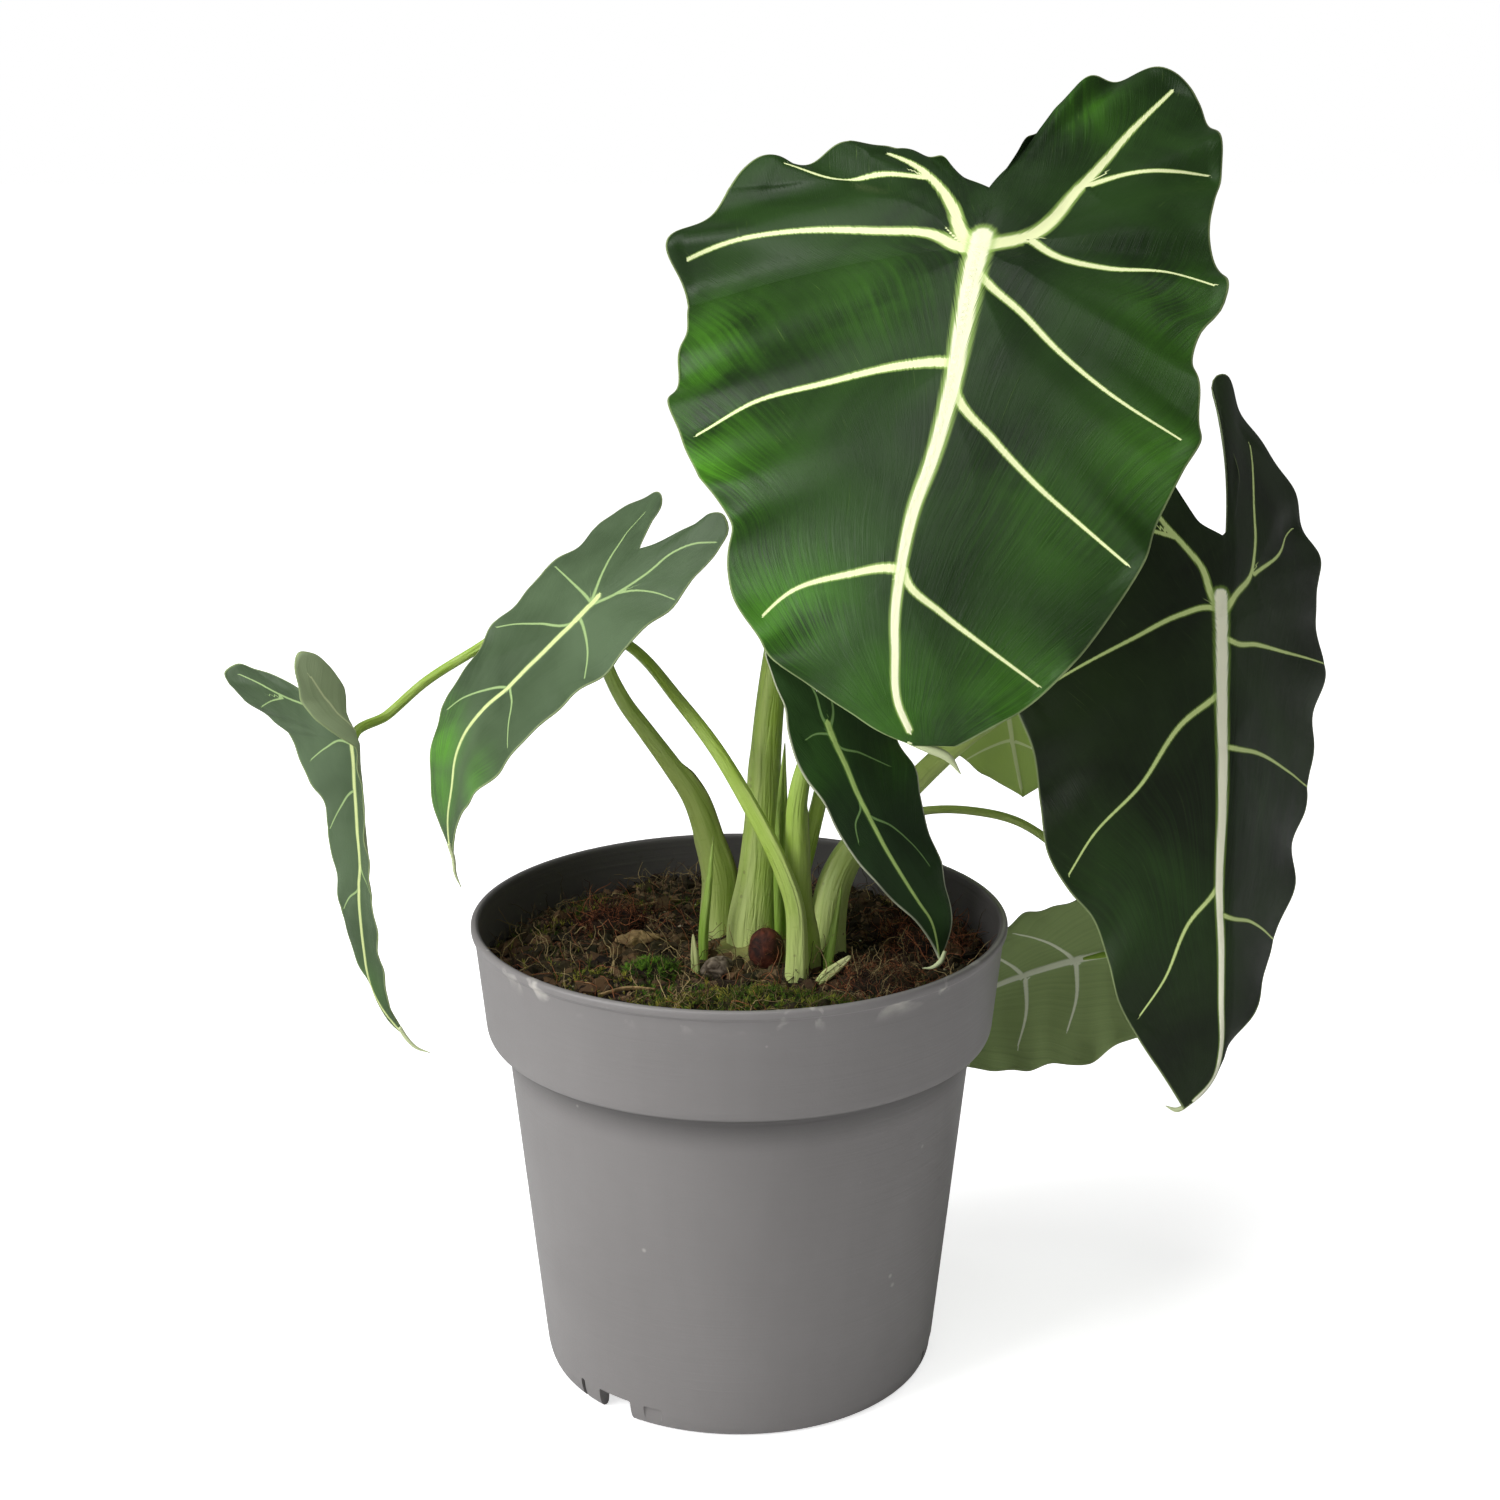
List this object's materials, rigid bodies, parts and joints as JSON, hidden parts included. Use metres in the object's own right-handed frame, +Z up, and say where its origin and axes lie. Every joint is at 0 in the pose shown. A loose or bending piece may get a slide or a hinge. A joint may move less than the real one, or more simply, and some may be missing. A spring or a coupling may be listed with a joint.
{
  "type": "potted alocasia",
  "caption": "Young alocasia with arrow-shaped dark green leaves on pale stalks, rooted in mossy soil in a grey nursery pot",
  "frame": {"origin": "centre of the pot's flat resting face, on the floor", "axes": "+Z up along the pot's axis; -Y is the front, where the large leaf faces; +X to the right seen from the front"},
  "size_m": [0.2539, 0.1482, 0.2866],
  "materials": {
    "pot_plastic": "satin moulded grey plastic",
    "soil": "damp dark peat mix",
    "corm": "brown fibrous corm skin",
    "leaf_green": "deep green blade with cream veins, semi-gloss",
    "leaf_grey": "grey-green blade with pale veins, satin",
    "stalk": "smooth fleshy green stalk",
    "bract": "thin green sheath drying at its edge",
    "bark": "dry tan bark and straw",
    "moss": "soft olive moss",
    "fibre": "loose reddish-brown fibre"
  },
  "bodies": {
    "root": {"nursery_pot": "pot_plastic", "potting_soil": "soil", "crown": "corm", "blade_front": "leaf_green", "blade_right": "leaf_green", "blade_centre": "leaf_green", "blade_left": "leaf_grey", "blade_far_left": "leaf_grey", "blade_low_right": "leaf_grey", "blade_back": "leaf_grey", "petiole_front": "stalk", "petiole_right": "stalk", "petiole_centre": "stalk", "petiole_left": "stalk", "petiole_far_left": "stalk", "petiole_low_right": "stalk", "petiole_back": "stalk", "young_sheath": "bract", "bract_left": "bract", "bract_left_stub": "bract", "bract_right": "bract", "bract_right_stub": "bract", "cormel": "corm", "woody_stub": "corm", "bark_chip": "bark", "straw_left": "bark", "straw_back": "bark", "moss_front": "moss", "moss_left": "moss", "fibre_right": "fibre", "fibre_front": "fibre", "fibre_back": "fibre"}
  },
  "joints": []
}
